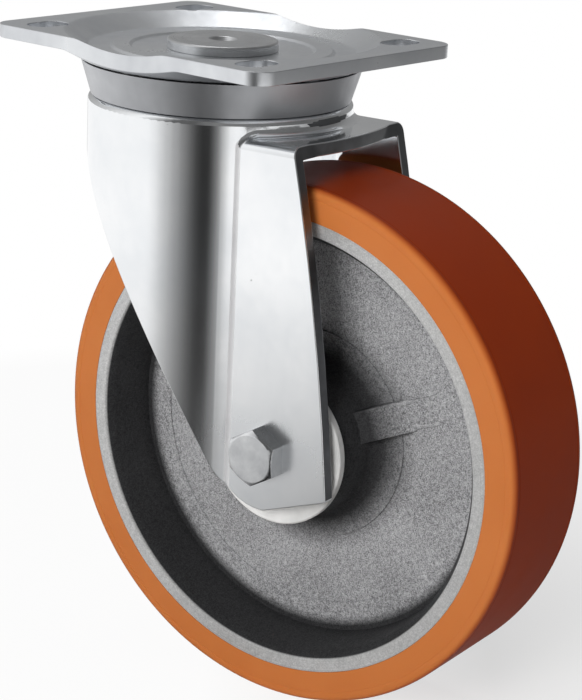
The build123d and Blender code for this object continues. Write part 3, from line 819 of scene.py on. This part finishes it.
# %% Swivel head
upper_count = 22
upper_ball = 10 * mm
upper_pitch_radius = 38 * mm
upper_place = Matrix.Translation(box_middle("upper_balls"))
ball_row("upper_balls", "upper_ball_row", upper_count, upper_ball, upper_pitch_radius, upper_place, False)
lower_count = 17
lower_ball = 8 * mm
lower_pitch_radius = 24 * mm
lower_place = Matrix.Translation((0, 0, box_middle("lower_balls").z))
ball_row("lower_balls", "lower_ball_row", lower_count, lower_ball, lower_pitch_radius, lower_place, False)

# %% Wheel bearings
bearing_count = 8
bearing_ball = 7.94 * mm
bearing_pitch_radius = 16.75 * mm
for side in ("near", "far"):
    node_name = side + "_bearing_balls"
    name = side + "_ball_row"
    place = Matrix.Translation(box_middle(node_name)) @ Matrix.Rotation(rest_turn, 4, "Z")
    ball_row(node_name, name, bearing_count, bearing_ball, bearing_pitch_radius, place, True)

# %% [markdown]
# ## Moulded tread
# The tread is cast round the rim in a two-part mould. Its shoulders are rounded, and the mould leaves a
# fine groove on both sides of each shoulder, one in the tread's side and one in its rolling face. One
# profile holds all of that, and a spin closes it, which keeps every ring true.

# %% Tread
tread_bore = 88 * mm
tread_outer = 100 * mm
bond_gap = 0.05 * mm
shoulder = 2.4 * mm
shoulder_steps = 6
side_groove = 0.22 * mm
face_groove = 0.12 * mm
half_profile = (
    (tread_half, tread_bore + bond_gap),
    (tread_half, tread_outer - 4.3 * mm),
    (tread_half - side_groove, tread_outer - 4.1 * mm),
    (tread_half - side_groove, tread_outer - 3.7 * mm),
    (tread_half, tread_outer - 3.5 * mm),
)
shoulder_points = []
for step in range(shoulder_steps + 1):
    lean = pi / 2 * step / shoulder_steps
    along = tread_half - shoulder + shoulder * cos(lean)
    radius = tread_outer - shoulder + shoulder * sin(lean)
    shoulder_points.append((along, radius))
face_points = (
    (tread_half - 3.2 * mm, tread_outer),
    (tread_half - 3.4 * mm, tread_outer - face_groove),
    (tread_half - 3.9 * mm, tread_outer - face_groove),
    (tread_half - 4.1 * mm, tread_outer),
)
one_side = [*half_profile, *shoulder_points, *face_points]
other_side = [(-along, radius) for along, radius in reversed(one_side)]
tread_shape = spun([*one_side, *other_side], 180, axle_place)
keep_piece(tread_shape, "moulded_tread", tread_orange, "tyre", sharp_angle=50)

# %% [markdown]
# ## Floor, tent and light
# Bright metal shows its surroundings more than its own colour, so a studio puts it in a paper tent: white
# behind and to the left, grey to the right, and black in front. The black part is what draws the dark
# band down the fork. Here the tent is a floor sheet and a dome that only reflections see, and each gets
# its grey from the compass angle; the floor sheet is also darker near the castor, as painted shade for the
# castor's shadow that reflections would see. The real floor underneath keeps the shadow: it glows white
# far away, and it glows on the left as painted light from that side, so its own shading shows most beside
# the castor on the right.

# %% Floor
floor_reach = 6.0
floor_mesh = bmesh.new()
bmesh.ops.create_grid(floor_mesh, x_segments=1, y_segments=1, size=floor_reach)
floor_data = bpy.data.meshes.new("floor")
floor_mesh.to_mesh(floor_data)
floor_mesh.free()
floor = bpy.data.objects.new("floor", floor_data)
floor.location.z = floor_height
bpy.context.scene.collection.objects.link(floor)

floor_white, tree, shader, coordinates = start_material("floor_white")
to_the_right = (0.67, -0.74, 0.0)
away_metres = (0.10, 0.40)
away_glow = (0.55, 1.0)
right_metres = (0.0, 0.14)
right_glow = (0.94, 0.5)
distance = put(tree, "ShaderNodeVectorMath", {0: coordinates}, operation="LENGTH").outputs["Value"]
glow_share = ramp(tree, distance, *away_metres, *away_glow)
# painted light: the floor glows brighter on its left, as if lit from that side, so the shadow shows on the
# right
dot = put(tree, "ShaderNodeVectorMath", {0: coordinates, 1: to_the_right}, operation="DOT_PRODUCT")
on_the_left = ramp(tree, dot.outputs["Value"], *right_metres, *right_glow)
glow_share = calculate(tree, "MAXIMUM", glow_share, on_the_left)
set_shader(shader, Base_Color=(0.93, 0.925, 0.92, 1), Roughness=0.8)
glow = put(tree, "ShaderNodeEmission", {"Color": (1, 1, 1, 1), "Strength": 1.0})
rays = put(tree, "ShaderNodeLightPath").outputs
seen = calculate(tree, "MAXIMUM", rays["Is Camera Ray"], rays["Is Glossy Ray"])
seen = calculate(tree, "MAXIMUM", seen, rays["Is Transmission Ray"])
mix = put(tree, "ShaderNodeMixShader", {0: calculate(tree, "MULTIPLY", glow_share, seen)})
tree.links.new(shader.outputs[0], mix.inputs[1])
tree.links.new(glow.outputs[0], mix.inputs[2])
tree.links.new(mix.outputs[0], tree.nodes["Material Output"].inputs["Surface"])
floor.data.materials.append(floor_white)
print("floor reaches", floor_reach, "m")

# %% Paper for the tent


def tent_paper(name, stops, near=None):
    """Glowing paper whose grey goes round the compass through (degrees, grey) stops, from -180 to 180."""
    material, tree, shader, coordinates = start_material(name)
    compass = put(tree, "ShaderNodeTexGradient", {"Vector": coordinates}, gradient_type="RADIAL")
    greys = put(tree, "ShaderNodeValToRGB", {"Fac": compass.outputs["Fac"]})
    points = greys.color_ramp.elements
    back_grey = stops[0][1]
    points[0].color = points[1].color = (back_grey, back_grey, back_grey, 1)
    for angle, grey in stops[1:]:
        points.new(angle / 360 + 0.5).color = (grey, grey, grey, 1)
    grey = greys.outputs["Color"]
    # painted shade: the paper darkens towards the middle, for the castor's shadow on the floor
    if near:
        distance = put(tree, "ShaderNodeVectorMath", {0: coordinates}, operation="LENGTH").outputs["Value"]
        grey = calculate(tree, "MULTIPLY", grey, ramp(tree, distance, *near))
    glow = put(tree, "ShaderNodeEmission", {"Color": (1, 1, 1, 1), "Strength": grey})
    tree.links.new(glow.outputs[0], tree.nodes["Material Output"].inputs["Surface"])
    return material


def tent_piece(name, first, second, steps, axis_angle, paper, height=0.0):
    """Spins the line between two points into a sheet that only reflections see."""
    shape = bmesh.new()
    ends = [shape.verts.new(point) for point in (first, second)]
    edge = shape.edges.new(ends)
    bmesh.ops.spin(
        shape,
        geom=[edge, *ends],
        axis=(0, 0, 1),
        cent=(0, 0, 0),
        angle=axis_angle,
        steps=steps,
        use_merge=True,
    )
    data = bpy.data.meshes.new(name)
    shape.to_mesh(data)
    shape.free()
    data.materials.append(paper)
    item = bpy.data.objects.new(name, data)
    item.location.z = height
    bpy.context.scene.collection.objects.link(item)
    item.visible_camera = False
    item.visible_diffuse = False
    item.visible_shadow = False
    return item


# %% Tent
tent_radius = 1.9
tent_height = 1.6
tent_steps = 48
pole_hole = 0.001
floor_greys = (
    (-180, 0.52), (-172, 0.33), (-166, 0.22), (-161, 0.13), (-156, 0.06), (-151, 0.03),
    (-146, 0.03), (-143.5, 0.07), (-138.5, 0.2), (-133, 0.62), (-129, 1.0), (-85, 0.8),
    (-60, 0.36), (-43, 0.28), (-25, 0.22), (0, 0.7), (20, 1.0), (38, 0.9),
    (44, 0.45), (52, 0.6), (62, 1.0), (162, 1.0), (169, 0.86), (175, 0.64),
)
dome_greys = (
    (-180, 0.13), (-160, 0.10), (-140, 0.2), (-60, 0.12), (-25, 0.14),
    (0, 0.25), (50, 0.32), (110, 0.6), (150, 1.0), (166, 0.5),
)
# painted shade: the tent floor is darker near the castor, standing in for its shadow as reflections see it
shade_near_castor = (0.05, 0.62, 0.42, 1.0)
floor_paper = tent_paper("tent_floor_paper", floor_greys, shade_near_castor)
dome_paper = tent_paper("tent_dome_paper", dome_greys)
lift = floor_height + mm
middle_point = (pole_hole, 0, 0)
rim_point = (tent_radius, 0, 0)
top_point = (tent_radius, 0, tent_height)
tent_piece("tent_floor", middle_point, rim_point, tent_steps, 2 * pi, floor_paper, lift)
tent_piece("tent_wall", rim_point, top_point, tent_steps, 2 * pi, dome_paper, lift)
tent_piece("tent_roof", rim_point, middle_point, tent_steps, 2 * pi, dome_paper, lift + tent_height)
print("tent", 2 * tent_radius, "m wide,", len(floor_greys), "greys on its floor")

# %% [markdown]
# ## Lamps
# Paper alone gives no clear shadow. A large key lamp at the near left draws it, and a weak one overhead
# fills the plate. The key is kept out of reflections: the tent already draws all that the metal shows,
# and the lamp would be one more bright square on the bolt's facets.

# %% Lights


def soft_box(name, azimuth, elevation, distance, size, power):
    """A square lamp that looks at the castor's middle from a compass angle and a height angle."""
    lamp = bpy.data.lights.new(name, "AREA")
    lamp.shape = "SQUARE"
    lamp.size = size
    lamp.energy = power
    item = bpy.data.objects.new(name, lamp)
    bpy.context.scene.collection.objects.link(item)
    aim = Vector((0, 0, floor_height / 2))
    turn, rise = radians(azimuth), radians(elevation)
    direction = Vector((cos(turn) * cos(rise), sin(turn) * cos(rise), sin(rise)))
    item.location = aim + direction * distance
    item.rotation_euler = (-direction).to_track_quat("-Z", "Y").to_euler()
    return item


key = soft_box("key", 197, 23, 1.5, 0.6, 20.0)
key.visible_glossy = False
soft_box("top", 60, 78, 1.5, 0.8, 4.0)
print("lamps:", [lamp.name for lamp in bpy.data.lights])

world = bpy.data.worlds.new("studio")
world.use_nodes = True
bpy.context.scene.world = world
tree = world.node_tree
rays = put(tree, "ShaderNodeLightPath").outputs
seen = calculate(tree, "MAXIMUM", rays["Is Camera Ray"], rays["Is Glossy Ray"])
seen = calculate(tree, "MAXIMUM", seen, rays["Is Transmission Ray"])
sky = tree.nodes["Background"]
sky.inputs["Color"].default_value = (1, 1, 1, 1)
tree.links.new(ramp(tree, seen, 0.0, 1.0, 0.07, 1.0), sky.inputs["Strength"])

# %% [markdown]
# ## Camera
# The view looks down on the castor from the near side and behind. The lens is long, so the wheel stays
# almost round. The camera rolls a little, as a hand-held one does.

# %% Camera
camera_place = Vector((-0.5878, -0.5359, 0.1224))
view_azimuth = radians(40.16)
view_dip = radians(17.12)
view_roll = radians(2.54)
sensor_height = 36.0
picture_height = 700
focal_pixels = 2133.14
camera = bpy.data.cameras.new("camera")
camera.sensor_fit = "VERTICAL"
camera.sensor_height = sensor_height
camera.lens = focal_pixels * sensor_height / picture_height
camera_item = bpy.data.objects.new("camera", camera)
bpy.context.scene.collection.objects.link(camera_item)
look = Vector((cos(view_azimuth) * cos(view_dip), sin(view_azimuth) * cos(view_dip), -sin(view_dip)))
level = look.to_track_quat("-Z", "Y")
camera_item.location = camera_place
camera_item.rotation_mode = "QUATERNION"
camera_item.rotation_quaternion = level @ Quaternion((0, 0, 1), view_roll)
bpy.context.scene.camera = camera_item
print("lens", round(camera.lens, 1), "mm")

# %% View settings
bpy.context.scene.view_settings.view_transform = "Standard"
print("cad box:", cad_box)
